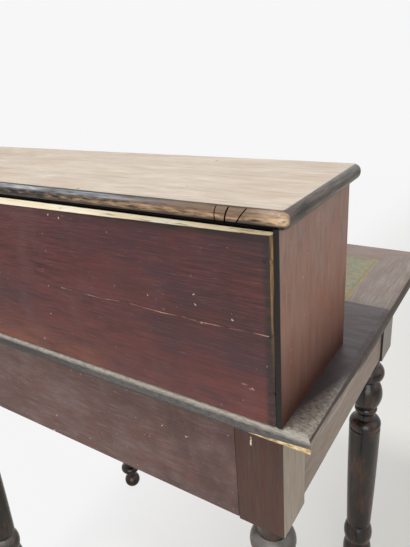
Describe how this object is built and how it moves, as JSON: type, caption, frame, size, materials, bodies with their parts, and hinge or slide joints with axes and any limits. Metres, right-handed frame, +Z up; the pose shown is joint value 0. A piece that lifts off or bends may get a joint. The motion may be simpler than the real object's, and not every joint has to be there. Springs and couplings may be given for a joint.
{
  "type": "kids desk",
  "caption": "Child's writing desk on turned legs with ball feet, a frieze drawer, a leather writing inset and a low case with small drawers and pigeonholes.",
  "frame": {"origin": "on the floor below the middle of the desk's bounding box", "axes": "+Z up, the sitter is on the -Y side, +X is the sitter's right"},
  "size_m": [0.567, 0.3758, 0.7405],
  "materials": {
    "ebonised_wood": "worn black stain, soft gloss",
    "stained_wood": "dark red-brown stain, worn satin",
    "mauve_wood": "faded brown stain, worn satin",
    "greyed_wood": "greyed stain, dusty matt",
    "faded_wood": "faded bare wood, matt",
    "plain_wood": "unfinished wood, matt",
    "leather": "worn grey-green, matt",
    "iron": "dull dark iron"
  },
  "bodies": {
    "desk": {"back_apron": "stained_wood", "case_back": "stained_wood", "case_back_nails": "iron", "case_bottom": "plain_wood", "case_divider_left": "plain_wood", "case_divider_right": "plain_wood", "case_dowels": "plain_wood", "case_screws": "iron", "case_shelf_left": "plain_wood", "case_shelf_right": "plain_wood", "case_side_left": "mauve_wood", "case_side_right": "mauve_wood", "case_top_board": "faded_wood", "drawer_guide_left": "plain_wood", "drawer_guide_right": "plain_wood", "drawer_kicker_left": "plain_wood", "drawer_kicker_right": "plain_wood", "drawer_runner_left": "plain_wood", "drawer_runner_right": "plain_wood", "drawer_stops": "plain_wood", "front_lower_rail": "stained_wood", "front_upper_rail": "stained_wood", "glue_blocks": "plain_wood", "leather_inset": "leather", "leg_front_left": "ebonised_wood", "leg_front_right": "ebonised_wood", "leg_rear_left": "ebonised_wood", "leg_rear_right": "ebonised_wood", "mitre_splines": "plain_wood", "side_rail_left": "mauve_wood", "side_rail_right": "mauve_wood", "top_front_rail": "greyed_wood", "top_rear_board": "greyed_wood", "top_screws": "iron", "top_stile_left": "greyed_wood", "top_stile_right": "greyed_wood", "writing_panel": "plain_wood"},
    "frieze_drawer": {"frieze_drawer_back": "plain_wood", "frieze_drawer_bottom": "plain_wood", "frieze_drawer_front": "stained_wood", "frieze_drawer_knobs": "ebonised_wood", "frieze_drawer_side_left": "plain_wood", "frieze_drawer_side_right": "plain_wood"},
    "left_drawer": {"left_drawer_back": "plain_wood", "left_drawer_bottom": "plain_wood", "left_drawer_front": "stained_wood", "left_drawer_knob": "ebonised_wood", "left_drawer_side_left": "plain_wood", "left_drawer_side_right": "plain_wood"},
    "right_drawer": {"right_drawer_back": "plain_wood", "right_drawer_bottom": "plain_wood", "right_drawer_front": "stained_wood", "right_drawer_knob": "ebonised_wood", "right_drawer_side_left": "plain_wood", "right_drawer_side_right": "plain_wood"}
  },
  "joints": [
    {"name": "frieze_drawer_slide", "type": "slide", "parent": "desk", "child": "frieze_drawer", "axis": [0, -1, 0], "range_m": [0, 0.19]},
    {"name": "left_drawer_slide", "type": "slide", "parent": "desk", "child": "left_drawer", "axis": [0, -1, 0], "range_m": [0, 0.08]},
    {"name": "right_drawer_slide", "type": "slide", "parent": "desk", "child": "right_drawer", "axis": [0, -1, 0], "range_m": [0, 0.08]}
  ]
}
